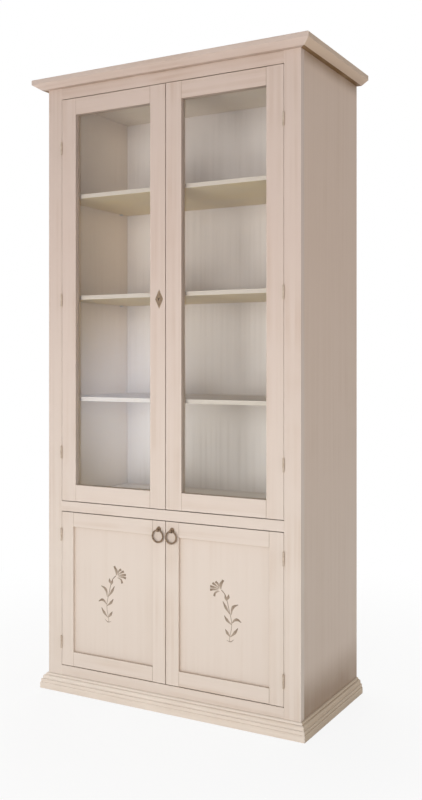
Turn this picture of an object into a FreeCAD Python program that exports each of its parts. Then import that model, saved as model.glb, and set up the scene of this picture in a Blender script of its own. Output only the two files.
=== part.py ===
import FreeCAD
import Part
import os

# Bookcase with two glazed doors above and two panelled doors below, on a moulded plinth and under a
# moulded cornice. Millimetres, +Z up, front towards -Y, origin on the floor at the middle of the outline.

# Whole body
overall_height = 2100.0
carcass_width = 952.0
carcass_depth = 470.0          # front of the face frame to the rear edge of the sides
side_thickness = 20.0
board_thickness = 20.0         # divider and floor
top_board_thickness = 28.0
housing_depth = 8.0            # how far top, divider and floor are let into the sides
back_thickness = 10.0
back_inset = 4.0               # back panel in front of the sides' rear edges
back_rebate = 10.0
back_clearance = 1.0
arris = 1.0                    # easing of the long front edges

# Face frame and the openings for the doors
frame_thickness = 24.0         # face frame and doors are flush and equally thick
face_stile_width = 56.0
bottom_rail_height = 85.0
lower_opening_height = 530.0
mid_rail_height = 34.0
top_rail_height = 38.0
door_gap = 2.5                 # above, below and between the doors
hinge_gap = 1.0                # between a door's hinge edge and the face frame
stop_height = 9.0              # floor and divider stand this far above the rails as door stops
stop_clearance = 0.5

# Joinery
tenon_thickness = 8.0
tenon_length = 28.0
tenon_shoulder = 8.0
joint_clearance = 0.2

# Cornice
cornice_height = 32.0
cornice_overhang = 42.0
cornice_seat_width = 58.0      # width that lies on the carcass
cornice_bevel_height = 15.5    # slope below the upright edge
cornice_bevel_depth = 24.0     # how far the slope runs in
cornice_edge_radius = 3.0      # round of the top edge

# Plinth moulding, from the top down: bead, ovolo, neck, cove, riser and base
plinth_height = 52.0
plinth_bead_radius = 7.0
plinth_ledge = 1.0
plinth_ovolo_radius = 6.0
plinth_neck_height = 3.0
plinth_cove_radius = 5.0
plinth_base_height = 21.0
plinth_base_step = 2.4
plinth_base_radius = 2.0

# Shelves
shelf_thickness = 14.0
shelf_setback = 40.0           # front edge behind the front of the face frame
shelf_side_clearance = 1.0
shelf_rear_clearance = 2.0
upper_shelf_count = 3
lower_shelf_count = 1
support_shank_radius = 2.5
support_shank_length = 10.0
support_spade_length = 9.0
support_spade_width = 10.0
support_spade_thickness = 4.0
support_front_inset = 45.0     # from the shelf's front and rear edges
support_fit = 0.05

# Glazed upper doors
upper_stile_width = 58.0
upper_rail_width = 56.0
glass_lip = 14.0               # wood in front of the pane
glass_lap = 9.0                # rebate that the pane and its beads lie in
glass_thickness = 4.0
glass_clearance = 1.5

# Panelled lower doors
lower_stile_width = 48.0
lower_rail_width = 48.0
panel_recess = 9.0
panel_thickness = 8.0
panel_groove = 9.0
panel_clearance = 1.0

# Hinges
hinge_length = 40.0
hinge_knuckle_radius = 3.2
hinge_pin_radius = 1.5
hinge_pin_clearance = 0.05
hinge_stand_off = 0.25         # knuckle in front of the door's face
hinge_leaf_depth = 18.0
hinge_leaf_thickness = 1.2
hinge_leaf_play = 0.1          # between the two leaves of a closed hinge
hinge_knuckle_play = 0.2
hinge_head_radius = 2.7
hinge_head_height = 1.4
upper_hinge_inset = 166.0      # hinge's middle from the door's ends
lower_hinge_inset = 78.0
upper_hinge_count = 3
lower_hinge_count = 2

# Lock in the left upper door
escutcheon_width = 30.0
escutcheon_height = 63.0
escutcheon_thickness = 2.5
escutcheon_bevel = 4.0
keyhole_radius = 2.6
keyhole_slot_width = 2.8
keyhole_slot_length = 9.0
key_passage_radius = 4.5
lock_backset = 23.0            # keyhole's axis from the door's edge
lock_drop = 8.0                # keyhole's axis below the middle of the door
lock_case_width = 42.0
lock_case_height = 58.0
lock_case_depth = 13.0
lock_bolt_height = 12.0
lock_bolt_thickness = 7.0
lock_bolt_length = 24.0
lock_bolt_rise = 15.0          # bolt's middle above the keyhole's axis
lock_bolt_travel = 9.0
lock_bolt_setback = 0.5
bolt_play = 0.3
bolt_talon_radius = 3.5
mortise_play = 0.6
mortise_spare_depth = 2.0

# Sliding bolts on the right upper door
rod_radius = 3.0
rod_play = 0.08
rod_hole_play = 0.5
rod_inset = 20.0               # rod's axis from the door's edge
rod_stand_off = 8.0            # rod's axis behind the door's back
rod_tail = 60.0                # rod that stands out of the guide towards the knob
rod_knob_radius = 5.0
rod_engagement = 9.0           # how far a thrown rod stands in its hole
rod_spare_depth = 3.0
guide_length = 42.0
guide_width = 16.0
guide_depth = 13.0
guide_plate_width = 26.0
guide_plate_thickness = 2.0
guide_inset = 12.0             # guide from the door's end
lower_rod_lift = 1.5           # withdrawn rod above the divider

# Magnetic catches of the lower doors
catch_inset = 78.0             # catch's middle from the middle of the bookcase
magnet_width = 44.0
magnet_depth = 14.0
magnet_reach = 15.0            # overlap with the door's top rail
magnet_gap = 0.5
catch_plate_width = 30.0
catch_plate_height = 13.0
catch_plate_thickness = 1.5

# Ring pulls
pull_drop = 26.0               # rosette's middle below the door's top edge
rosette_radius = 8.0
rosette_thickness = 2.6
rosette_edge_radius = 1.4
collar_radius = 5.5
collar_thickness = 2.0
neck_radius = 3.4
eye_radius = 6.0
eye_width = 8.0
eye_bore_radius = 3.3
eye_stand_off = 8.5            # eye's axis in front of the door
eye_drop = 3.0                 # eye's axis below the rosette's middle
ring_radius = 19.5             # middle of the wire
ring_wire_radius = 2.6

# Places that follow from the sizes above
half_width = carcass_width / 2
front = (cornice_overhang - carcass_depth) / 2
rear = front + carcass_depth
door_back = front + frame_thickness
carcass_top_z = overall_height - cornice_height
opening_half = half_width - face_stile_width
lower_opening = (bottom_rail_height, bottom_rail_height + lower_opening_height)
upper_opening = (lower_opening[1] + mid_rail_height, carcass_top_z - top_rail_height)
inner_half = half_width - side_thickness
floor_top = lower_opening[0] + stop_height
divider_top = upper_opening[0] + stop_height
ceiling = carcass_top_z - top_board_thickness
back_front = rear - back_inset - back_thickness
plinth_projection = (plinth_bead_radius + plinth_ledge + plinth_ovolo_radius
                     + plinth_cove_radius + plinth_base_step)
frame_y = (front, door_back)
door_x = (-opening_half + hinge_gap, -door_gap / 2)
upper_door_z = (upper_opening[0] + door_gap, upper_opening[1] - door_gap)
lower_door_z = (lower_opening[0] + door_gap, lower_opening[1] - door_gap)
hinge_x = -opening_half + hinge_gap / 2
frame_leaf_x = (hinge_x - hinge_leaf_play / 2 - hinge_leaf_thickness, hinge_x - hinge_leaf_play / 2)
door_leaf_x = (hinge_x + hinge_leaf_play / 2, hinge_x + hinge_leaf_play / 2 + hinge_leaf_thickness)
hinge_y = front - hinge_stand_off - hinge_knuckle_radius
lock_x = door_x[1] - lock_backset
lock_z = sum(upper_door_z) / 2 - lock_drop
rod_x = door_gap / 2 + rod_inset
rod_y = door_back + rod_stand_off
pull_x = door_x[1] - lower_stile_width / 2
pull_z = lower_door_z[1] - pull_drop
eye_y = front - eye_stand_off
eye_z = pull_z - eye_drop

same_place = 0.001             # two places nearer than this are one

AXIS_X = FreeCAD.Vector(1, 0, 0)
AXIS_Y = FreeCAD.Vector(0, 1, 0)
AXIS_Z = FreeCAD.Vector(0, 0, 1)


def block(x, y, z):
    """Box between a low and a high value on each axis."""
    return Part.makeBox(x[1] - x[0], y[1] - y[0], z[1] - z[0], FreeCAD.Vector(x[0], y[0], z[0]))


def grown(span, amount):
    """A low and high value, moved apart by the same amount at both ends."""
    return (span[0] - amount, span[1] + amount)


def around(middle, size):
    """Low and high value of a size about its middle."""
    return (middle - size / 2, middle + size / 2)


def rod(radius, start, end):
    """Round bar between two points."""
    line = FreeCAD.Vector(*end) - FreeCAD.Vector(*start)
    return Part.makeCylinder(radius, line.Length, FreeCAD.Vector(*start), line)


def mirrored(shape):
    """The same piece on the other side of the bookcase."""
    return shape.mirror(FreeCAD.Vector(0, 0, 0), AXIS_X)


def board(x, y, z, grain):
    """Box with its two long front edges eased; grain is the axis that it runs along."""
    solid = block(x, y, z)
    long_front = []
    for edge in solid.Edges:
        runs_along = edge.tangentAt(edge.FirstParameter).cross(grain).Length < same_place
        if runs_along and abs(edge.CenterOfMass.y - y[0]) < same_place:
            long_front.append(edge)
    return solid.makeFillet(arris, long_front)


def tongue(x, z, slack=0.0):
    """Tenon at the middle of the frame's thickness; slack widens it into its mortise."""
    middle = (front + door_back) / 2
    return block(grown(x, slack), around(middle, tenon_thickness + 2 * slack), grown(z, slack))


def outline(place, start, steps):
    """Closed face from plan points; a step is a point, or a point and the centre of its quarter round."""
    edges = []
    last = start
    for step in list(steps) + [start]:
        point, centre = step if isinstance(step[0], tuple) else (step, None)
        if centre is None:
            edges.append(Part.LineSegment(place(*last), place(*point)).toShape())
        else:
            radius = abs(last[0] - centre[0]) + abs(last[1] - centre[1])
            across = ((last[0] + point[0]) / 2 - centre[0], (last[1] + point[1]) / 2 - centre[1])
            reach = radius / (across[0] ** 2 + across[1] ** 2) ** 0.5
            middle = (centre[0] + across[0] * reach, centre[1] + across[1] * reach)
            edges.append(Part.Arc(place(*last), place(*middle), place(*point)).toShape())
        last = point
    return Part.Face(Part.Wire(edges))


def cornice_steps():
    """Section of the cornice: distance out from the carcass, and height."""
    top = overall_height
    low = carcass_top_z
    out = cornice_overhang
    round_out = out - cornice_edge_radius
    round_low = top - cornice_edge_radius
    return [
        (out - cornice_bevel_depth, low),
        (out, low + cornice_bevel_height),
        (out, round_low),
        ((round_out, top), (round_out, round_low)),
        (-cornice_seat_width, top),
    ]


def plinth_steps():
    """Section of the plinth: distance out from the carcass, and height."""
    bead_low = plinth_height - plinth_bead_radius
    ovolo_out = plinth_bead_radius + plinth_ledge
    neck_out = ovolo_out + plinth_ovolo_radius
    neck_high = bead_low - plinth_ovolo_radius
    cove_high = neck_high - plinth_neck_height
    riser_out = neck_out + plinth_cove_radius
    cove_low = cove_high - plinth_cove_radius
    round_out = plinth_projection - plinth_base_radius
    round_low = plinth_base_height - plinth_base_radius
    return [
        ((plinth_bead_radius, bead_low), (0, bead_low)),
        (ovolo_out, bead_low),
        ((neck_out, neck_high), (ovolo_out, neck_high)),
        (neck_out, cove_high),
        ((riser_out, cove_low), (riser_out, cove_high)),
        (riser_out, plinth_base_height),
        (round_out, plinth_base_height),
        ((plinth_projection, round_low), (round_out, round_low)),
        (plinth_projection, 0),
        (0, 0),
    ]


def mitred_mouldings(start, steps, reach, seat):
    """Front, left and right moulding of one section, mitred at the front corners."""
    far = half_width + reach
    length = carcass_depth + reach
    front_face = outline(lambda out, z: FreeCAD.Vector(-far, front - out, z), start, steps)
    left_face = outline(lambda out, z: FreeCAD.Vector(-half_width - out, front - reach, z), start, steps)
    outer = FreeCAD.Vector(-far, front - reach, 0)
    inner = FreeCAD.Vector(-half_width + seat, front + seat, 0)
    facing = FreeCAD.Vector(far, front - reach, 0)
    inner_facing = FreeCAD.Vector(half_width - seat, front + seat, 0)
    outer_rear = FreeCAD.Vector(-far, rear, 0)
    inner_rear = FreeCAD.Vector(-half_width + seat, rear, 0)
    front_plan = Part.Face(Part.makePolygon([outer, facing, inner_facing, inner, outer]))
    left_plan = Part.Face(Part.makePolygon([outer, inner, inner_rear, outer_rear, outer]))
    front_run = front_face.extrude(AXIS_X * (2 * far))
    left_run = left_face.extrude(AXIS_Y * length)
    front_piece = front_run.common(front_plan.extrude(AXIS_Z * overall_height))
    left_piece = left_run.common(left_plan.extrude(AXIS_Z * overall_height))
    return front_piece, left_piece, mirrored(left_piece)


def shelf_tops():
    """Heights of the shelves' top faces, which part each space evenly, the lower space first."""
    lower_space = (floor_top, divider_top - board_thickness, lower_shelf_count)
    upper_space = (divider_top, ceiling, upper_shelf_count)
    tops = []
    for low, high, count in (lower_space, upper_space):
        clear = (high - low - count * shelf_thickness) / (count + 1)
        tops += [low + number * (clear + shelf_thickness) for number in range(1, count + 1)]
    return tops


def support_places():
    """Depth and height of each spade support on one side."""
    shelf_rear = back_front - shelf_rear_clearance
    depths = (front + shelf_setback + support_front_inset, shelf_rear - support_front_inset)
    return [(y, top - shelf_thickness) for top in shelf_tops() for y in depths]


def support_shank(y, z, slack):
    """Shank of a support in the left side; slack widens it into its hole."""
    middle = z - support_spade_thickness / 2
    deep = -inner_half - support_shank_length - slack
    return rod(support_shank_radius + slack, (deep, y, middle), (-inner_half, y, middle))


def shelf_support(y, z):
    """Spade support: a round shank in the side and a flat spade under the shelf."""
    spade = block((-inner_half, -inner_half + support_spade_length),
                  around(y, support_spade_width), (z - support_spade_thickness, z))
    return support_shank(y, z, 0.0).fuse(spade)


def housed_boards():
    """Top face and thickness of the carcass top, the divider and the floor."""
    lower_boards = [(top, board_thickness) for top in (divider_top, floor_top)]
    return [(carcass_top_z, top_board_thickness)] + lower_boards


def side_panel():
    """Left side: housings for top, divider and floor, a rebate for the back and holes for the supports."""
    panel = block((-half_width, -inner_half), (door_back, rear), (0, carcass_top_z))
    housed = (-inner_half - housing_depth, -inner_half)
    for top, thickness in housed_boards():
        panel = panel.cut(block(housed, (door_back, rear), (top - thickness, top)))
    rebate_x = (-inner_half - back_rebate, -inner_half)
    panel = panel.cut(block(rebate_x, (back_front, rear), (floor_top - board_thickness, carcass_top_z)))
    for y, z in support_places():
        panel = panel.cut(support_shank(y, z, support_fit))
    return panel


def housed_board(top, thickness, near):
    """Board let into both sides, with its top face at the given height."""
    return block(around(0, 2 * (inner_half + housing_depth)), (near, back_front), (top - thickness, top))


def face_rail(z):
    """Rail of the face frame, with a tenon at each end."""
    rail = board((-opening_half, opening_half), frame_y, z, AXIS_X)
    for end in (-opening_half - tenon_length, opening_half):
        rail = rail.fuse(tongue((end, end + tenon_length), grown(z, -tenon_shoulder)))
    return rail


def hinge_heights(row):
    """Middles of the hinges of a row of doors, evenly spread between the two end ones."""
    z, inset, count = {
        "upper": (upper_door_z, upper_hinge_inset, upper_hinge_count),
        "lower": (lower_door_z, lower_hinge_inset, lower_hinge_count),
    }[row]
    low = z[0] + inset
    step = (z[1] - z[0] - 2 * inset) / (count - 1)
    return [low + number * step for number in range(count)]


def let_in(stile, leaf_x, z_middles):
    """A stile with recesses for hinge leaves at these heights."""
    recess_y = (front - arris, front + hinge_leaf_depth + joint_clearance)
    for z_middle in z_middles:
        recess_z = grown(around(z_middle, hinge_length), joint_clearance)
        stile = stile.cut(block(leaf_x, recess_y, recess_z))
    return stile


def face_stile(rail_spans):
    """Left stile of the face frame, mortised for the rails and recessed for the hinges."""
    stile = board((-half_width, -opening_half), frame_y, (0, carcass_top_z), AXIS_Z)
    for z in rail_spans:
        mortise_x = (-opening_half - tenon_length, -opening_half)
        stile = stile.cut(tongue(mortise_x, grown(z, -tenon_shoulder), joint_clearance))
    return let_in(stile, frame_leaf_x, hinge_heights("upper") + hinge_heights("lower"))


def door_frame(row, z, stile_width, rail_width, pocket_lap, pocket_y):
    """Stiles and rails of a left door; the pocket is the rebate or groove that its filling lies in."""
    sight_x = (door_x[0] + stile_width, door_x[1] - stile_width)
    sight_z = grown(z, -rail_width)
    pocket = block(grown(sight_x, pocket_lap), pocket_y, grown(sight_z, pocket_lap))
    inner_shoulder = pocket_lap + tenon_shoulder
    rails = {
        "top_rail": ((sight_z[1], z[1]), (sight_z[1] + inner_shoulder, z[1] - tenon_shoulder)),
        "bottom_rail": ((z[0], sight_z[0]), (z[0] + tenon_shoulder, sight_z[0] - inner_shoulder)),
    }
    hinge_stile = board((door_x[0], sight_x[0]), frame_y, z, AXIS_Z)
    pieces = {
        "hinge_stile": let_in(hinge_stile, door_leaf_x, hinge_heights(row)),
        "meeting_stile": board((sight_x[1], door_x[1]), frame_y, z, AXIS_Z),
    }
    tenon_ends = {
        "hinge_stile": (sight_x[0] - tenon_length, sight_x[0]),
        "meeting_stile": (sight_x[1], sight_x[1] + tenon_length),
    }
    for name, (span, tenon_z) in rails.items():
        rail = board(sight_x, frame_y, span, AXIS_X)
        for stile, tenon_x in tenon_ends.items():
            rail = rail.fuse(tongue(tenon_x, tenon_z))
            pieces[stile] = pieces[stile].cut(tongue(tenon_x, tenon_z, joint_clearance))
        pieces[name] = rail
    return {name: piece.cut(pocket) for name, piece in pieces.items()}


def glazing():
    """Pane of the left upper door and the four beads that hold it from behind."""
    sight_x = (door_x[0] + upper_stile_width, door_x[1] - upper_stile_width)
    sight_z = grown(upper_door_z, -upper_rail_width)
    pane_y = (front + glass_lip, front + glass_lip + glass_thickness)
    pane_grow = glass_lap - glass_clearance
    pane = block(grown(sight_x, pane_grow), pane_y, grown(sight_z, pane_grow))
    bead_y = (pane_y[1], door_back)
    rebate_x = grown(sight_x, glass_lap)
    rebate_z = grown(sight_z, glass_lap)
    beads = [
        block((rebate_x[0], sight_x[0]), bead_y, rebate_z),
        block((sight_x[1], rebate_x[1]), bead_y, rebate_z),
        block(sight_x, bead_y, (rebate_z[0], sight_z[0])),
        block(sight_x, bead_y, (sight_z[1], rebate_z[1])),
    ]
    return pane, Part.makeCompound(beads)


def door_panel():
    """Flat panel of the left lower door, loose in its groove for movement of the wood."""
    sight_x = (door_x[0] + lower_stile_width, door_x[1] - lower_stile_width)
    sight_z = grown(lower_door_z, -lower_rail_width)
    panel_y = (front + panel_recess, front + panel_recess + panel_thickness)
    panel_grow = panel_groove - panel_clearance
    return block(grown(sight_x, panel_grow), panel_y, grown(sight_z, panel_grow))


def hinge_leaf(edge_x, z_middle, knuckles):
    """Leaf of a left hinge: a plate let into the wood and the knuckles that it wraps round the pin."""
    plate_y = (front + hinge_stand_off, front + hinge_leaf_depth)
    leaf = block(edge_x, plate_y, around(z_middle, hinge_length))
    for low, high in knuckles:
        barrel = rod(hinge_knuckle_radius, (hinge_x, hinge_y, low), (hinge_x, hinge_y, high))
        web = block(edge_x, (hinge_y, plate_y[0]), (low, high))
        leaf = leaf.fuse(barrel).fuse(web)
    foot = z_middle - hinge_length
    head = z_middle + hinge_length
    bore = rod(hinge_pin_radius + hinge_pin_clearance, (hinge_x, hinge_y, foot), (hinge_x, hinge_y, head))
    return leaf.cut(bore)


def hinge(z_middle):
    """Frame leaf, door leaf and pin of one left hinge."""
    low, high = around(z_middle, hinge_length)
    third = hinge_length / 3
    outer = [(low, low + third - hinge_knuckle_play), (high - third + hinge_knuckle_play, high)]
    frame_leaf = hinge_leaf(frame_leaf_x, z_middle, outer)
    door_leaf = hinge_leaf(door_leaf_x, z_middle, [(low + third, high - third)])
    pin = rod(hinge_pin_radius, (hinge_x, hinge_y, low), (hinge_x, hinge_y, high))
    for inner_end, outer_end in ((low, low - hinge_head_height), (high, high + hinge_head_height)):
        pin = pin.fuse(rod(hinge_head_radius, (hinge_x, hinge_y, inner_end), (hinge_x, hinge_y, outer_end)))
    return frame_leaf, door_leaf, pin


def diamond(width, height, y):
    """Upright diamond about the keyhole."""
    corners = [(0, -height / 2), (width / 2, 0), (0, height / 2), (-width / 2, 0), (0, -height / 2)]
    return Part.makePolygon([FreeCAD.Vector(lock_x + x, y, lock_z + z) for x, z in corners])


def escutcheon():
    """Bevelled diamond plate with a keyhole, on the front of the lock stile."""
    face = front - escutcheon_thickness
    shrink = 1 - 2 * escutcheon_bevel / escutcheon_width
    top = diamond(escutcheon_width * shrink, escutcheon_height * shrink, face)
    plate = Part.makeLoft([diamond(escutcheon_width, escutcheon_height, front), top], True, True)
    hole = rod(keyhole_radius, (lock_x, face, lock_z), (lock_x, front, lock_z))
    slot = block(around(lock_x, keyhole_slot_width), (face, front), (lock_z - keyhole_slot_length, lock_z))
    return plate.cut(hole.fuse(slot))


def lock_bolt_box(x, slack):
    """Space of the lock's bolt over a length, with room on all sides."""
    y = lock_bolt_middle()
    z = around(lock_z + lock_bolt_rise, lock_bolt_height)
    return block(x, grown(around(y, lock_bolt_thickness), slack), grown(z, slack))


def lock_bolt_middle():
    """Depth of the bolt's middle, which is the middle of the lock case."""
    return door_back - lock_case_depth / 2


def lock_bolt():
    """Withdrawn bolt, with a talon in its lower edge for the key's bit."""
    end = door_x[1] - lock_bolt_setback
    bolt = lock_bolt_box((end - lock_bolt_length, end), 0.0)
    talon_z = lock_z + lock_bolt_rise - lock_bolt_height / 2
    middle = end - lock_bolt_length / 2
    return bolt.cut(rod(bolt_talon_radius, (middle, front, talon_z), (middle, door_back, talon_z)))


def lock_case():
    """Half-mortise case, flush with the door's edge and back, with channels for bolt and key."""
    y = (door_back - lock_case_depth, door_back)
    case = block((door_x[1] - lock_case_width, door_x[1]), y, around(lock_z, lock_case_height))
    channel_end = door_x[1] - lock_bolt_setback - lock_bolt_length - bolt_play
    key_hole = rod(keyhole_radius, (lock_x, y[0], lock_z), (lock_x, lock_bolt_middle(), lock_z))
    return case.cut(lock_bolt_box((channel_end, door_x[1]), bolt_play)).cut(key_hole)


def lock_stile(stile):
    """Meeting stile of the left upper door, cut for the lock case and the key."""
    case_y = (door_back - lock_case_depth, door_back)
    pocket = block((door_x[1] - lock_case_width, door_x[1]), case_y, around(lock_z, lock_case_height))
    passage = rod(key_passage_radius, (lock_x, front, lock_z), (lock_x, door_back, lock_z))
    return stile.cut(pocket).cut(passage)


def strike_stile(stile):
    """Meeting stile of the right upper door, with the mortise that the lock's bolt enters."""
    depth = lock_bolt_travel - lock_bolt_setback - door_gap + mortise_spare_depth
    edge = door_gap / 2
    return stile.cut(lock_bolt_box((edge, edge + depth), mortise_play))


def rod_guide(z):
    """Plate on the door's back with a bored guide for a sliding rod."""
    plate = block(around(rod_x, guide_plate_width), (door_back, door_back + guide_plate_thickness), z)
    body = block(around(rod_x, guide_width), (door_back + guide_plate_thickness, door_back + guide_depth), z)
    bore = rod(rod_radius + rod_play, (rod_x, rod_y, z[0]), (rod_x, rod_y, z[1]))
    return plate.fuse(body).cut(bore)


def sliding_rod(end, tail_end):
    """Round bolt from its working end to a ball knob on its tail."""
    knob = Part.makeSphere(rod_knob_radius, FreeCAD.Vector(rod_x, rod_y, tail_end))
    return rod(rod_radius, (rod_x, rod_y, end), (rod_x, rod_y, tail_end)).fuse(knob)


def rod_hole(mouth, direction):
    """Hole for a thrown rod's end, from its mouth upwards, or downwards where direction is -1."""
    floor = mouth + direction * (rod_engagement + rod_spare_depth)
    return rod(rod_radius + rod_hole_play, (rod_x, rod_y, mouth), (rod_x, rod_y, floor))


def magnet_catch():
    """Magnet case under the divider, behind the left lower door's top rail."""
    face = door_back + catch_plate_thickness + magnet_gap
    z = (lower_door_z[1] - magnet_reach, divider_top - board_thickness)
    return block(around(-catch_inset, magnet_width), (face, face + magnet_depth), z)


def catch_plate():
    """Steel plate on the back of the left lower door's top rail."""
    z = (lower_door_z[1] - magnet_reach, lower_door_z[1] - magnet_reach + catch_plate_height)
    return block(around(-catch_inset, catch_plate_width), (door_back, door_back + catch_plate_thickness), z)


def pull_rosette():
    """Turned rosette with a collar and a neck, and the eye that carries the left ring."""
    disc = rod(rosette_radius, (pull_x, front, pull_z), (pull_x, front - rosette_thickness, pull_z))
    rim = [edge for edge in disc.Edges if abs(edge.CenterOfMass.y - front + rosette_thickness) < same_place]
    disc = disc.makeFillet(rosette_edge_radius, rim)
    disc_face = front - rosette_thickness
    collar = rod(collar_radius, (pull_x, disc_face, pull_z), (pull_x, disc_face - collar_thickness, pull_z))
    neck = rod(neck_radius, (pull_x, disc_face, eye_z), (pull_x, eye_y, eye_z))
    eye_ends = around(pull_x, eye_width)
    eye = rod(eye_radius, (eye_ends[0], eye_y, eye_z), (eye_ends[1], eye_y, eye_z))
    bore = rod(eye_bore_radius, (eye_ends[0], eye_y, eye_z), (eye_ends[1], eye_y, eye_z))
    return disc.fuse(collar).fuse(neck).fuse(eye).cut(bore)


def pull_ring():
    """Ring that hangs in the left rosette's eye."""
    middle = FreeCAD.Vector(pull_x, eye_y, eye_z - ring_radius)
    return Part.makeTorus(ring_radius, ring_wire_radius, middle, AXIS_Y)


def carcass():
    """Boards, face frame, mouldings and shelves of the fixed body."""
    rail_spans = {
        "face_top_rail": (upper_opening[1], carcass_top_z),
        "face_mid_rail": (lower_opening[1], upper_opening[0]),
        "face_bottom_rail": (0, lower_opening[0]),
    }
    nodes = {name: face_rail(span) for name, span in rail_spans.items()}
    nodes["face_stile_left"] = face_stile(rail_spans.values())
    nodes["face_stile_right"] = mirrored(nodes["face_stile_left"])
    nodes["side_panel_left"] = side_panel()
    nodes["side_panel_right"] = mirrored(nodes["side_panel_left"])
    top_size, divider_size, floor_size = housed_boards()
    stop_front = door_back + stop_clearance
    nodes["carcass_top"] = housed_board(*top_size, door_back).cut(rod_hole(ceiling, 1))
    nodes["divider_shelf"] = housed_board(*divider_size, stop_front).cut(rod_hole(divider_top, -1))
    nodes["carcass_floor"] = housed_board(*floor_size, stop_front)
    back_x = around(0, 2 * (inner_half + back_rebate - back_clearance))
    back_z = (floor_top - board_thickness, carcass_top_z)
    nodes["back_panel"] = block(back_x, (back_front, back_front + back_thickness), back_z)
    cornice_start = (-cornice_seat_width, carcass_top_z)
    cornice = mitred_mouldings(cornice_start, cornice_steps(), cornice_overhang, cornice_seat_width)
    nodes["cornice_front"], nodes["cornice_left"], nodes["cornice_right"] = cornice
    top_x = around(0, 2 * (half_width - cornice_seat_width))
    nodes["top_panel"] = block(top_x, (front + cornice_seat_width, rear), (carcass_top_z, overall_height))
    plinth = mitred_mouldings((0, plinth_height), plinth_steps(), plinth_projection, 0.0)
    nodes["plinth_front"], nodes["plinth_left"], nodes["plinth_right"] = plinth
    shelf_x = around(0, 2 * (inner_half - shelf_side_clearance))
    shelf_y = (front + shelf_setback, back_front - shelf_rear_clearance)
    shelves = [board(shelf_x, shelf_y, (top - shelf_thickness, top), AXIS_X) for top in shelf_tops()]
    nodes["shelves"] = Part.makeCompound(shelves)
    supports = [shelf_support(y, z) for y, z in support_places()]
    nodes["shelf_supports"] = Part.makeCompound(supports + [mirrored(support) for support in supports])
    nodes["door_magnets"] = Part.makeCompound([magnet_catch(), mirrored(magnet_catch())])
    return nodes


def hinges():
    """Frame leaves and pins as one group, and the door leaves of each left and right door."""
    nodes = {}
    fixed = []
    for row in ("upper", "lower"):
        leaves = []
        for z_middle in hinge_heights(row):
            frame_leaf, door_leaf, pin = hinge(z_middle)
            fixed += [frame_leaf, pin, mirrored(frame_leaf), mirrored(pin)]
            leaves.append(door_leaf)
        nodes[row + "_left_hinge_leaves"] = Part.makeCompound(leaves)
        nodes[row + "_right_hinge_leaves"] = Part.makeCompound([mirrored(leaf) for leaf in leaves])
    nodes["frame_hinges"] = Part.makeCompound(fixed)
    return nodes


def upper_doors():
    """The glazed pair, with the lock in the left one and the sliding bolts on the right one."""
    nodes = {}
    rebate_y = (front + glass_lip, door_back)
    frame = door_frame("upper", upper_door_z, upper_stile_width, upper_rail_width, glass_lap, rebate_y)
    pane, beads = glazing()
    plain = dict(frame, glass=pane, glazing_beads=beads)
    for name, piece in plain.items():
        nodes["upper_left_" + name] = piece
        nodes["upper_right_" + name] = mirrored(piece)
    nodes["upper_left_lock_stile"] = lock_stile(nodes.pop("upper_left_meeting_stile"))
    nodes["upper_right_meeting_stile"] = strike_stile(nodes["upper_right_meeting_stile"])
    nodes["escutcheon"] = escutcheon()
    nodes["lock_case"] = lock_case()
    nodes["lock_bolt"] = lock_bolt()
    high_guide = (upper_door_z[1] - guide_inset - guide_length, upper_door_z[1] - guide_inset)
    low_end = divider_top + lower_rod_lift
    low_guide = (low_end + guide_inset, low_end + guide_inset + guide_length)
    nodes["bolt_guides"] = Part.makeCompound([rod_guide(high_guide), rod_guide(low_guide)])
    nodes["top_bolt"] = sliding_rod(upper_door_z[1], high_guide[0] - rod_tail)
    nodes["bottom_bolt"] = sliding_rod(low_end, low_guide[1] + rod_tail)
    return nodes


def lower_doors():
    """The panelled pair, each with a ring pull and a catch plate."""
    nodes = {}
    groove_y = (front + panel_recess, front + panel_recess + panel_thickness)
    left = door_frame("lower", lower_door_z, lower_stile_width, lower_rail_width, panel_groove, groove_y)
    left["panel"] = door_panel()
    left["catch_plate"] = catch_plate()
    left["pull_rosette"] = pull_rosette()
    left["ring"] = pull_ring()
    for name, piece in left.items():
        nodes["lower_left_" + name] = piece
        nodes["lower_right_" + name] = mirrored(piece)
    return nodes


def main():
    """Builds every piece and writes one file for each."""
    os.makedirs("parts", exist_ok=True)
    for group in (carcass(), hinges(), upper_doors(), lower_doors()):
        for name, shape in group.items():
            shape.exportStep("parts/" + name + ".step")


main()
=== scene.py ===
import math
from collections import namedtuple
from contextlib import contextmanager

import bmesh
import bpy
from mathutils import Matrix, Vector


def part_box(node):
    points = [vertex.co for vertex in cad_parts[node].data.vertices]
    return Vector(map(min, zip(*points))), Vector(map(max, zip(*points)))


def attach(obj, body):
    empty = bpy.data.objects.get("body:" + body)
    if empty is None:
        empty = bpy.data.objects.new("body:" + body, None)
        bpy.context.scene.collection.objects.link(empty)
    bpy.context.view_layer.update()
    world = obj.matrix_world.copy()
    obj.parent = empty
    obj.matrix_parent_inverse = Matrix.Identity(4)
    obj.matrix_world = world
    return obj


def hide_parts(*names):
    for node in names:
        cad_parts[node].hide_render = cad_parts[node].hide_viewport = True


# Finishes and fittings of a cream painted bookcase with glass doors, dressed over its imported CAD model.
# Metres, +Z up, front towards -Y, as in the CAD; sizes are written in millimetres and turned by MM.

bl_info = {
    "name": "Bookcase with glass doors",
    "version": (1, 0, 0),
    "blender": (4, 5, 0),
    "location": "3D View > Sidebar > Bookcase",
    "description": "Brushed paint, glass, bronze fittings and painted sprigs of a bookcase",
    "category": "Object",
}

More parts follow.
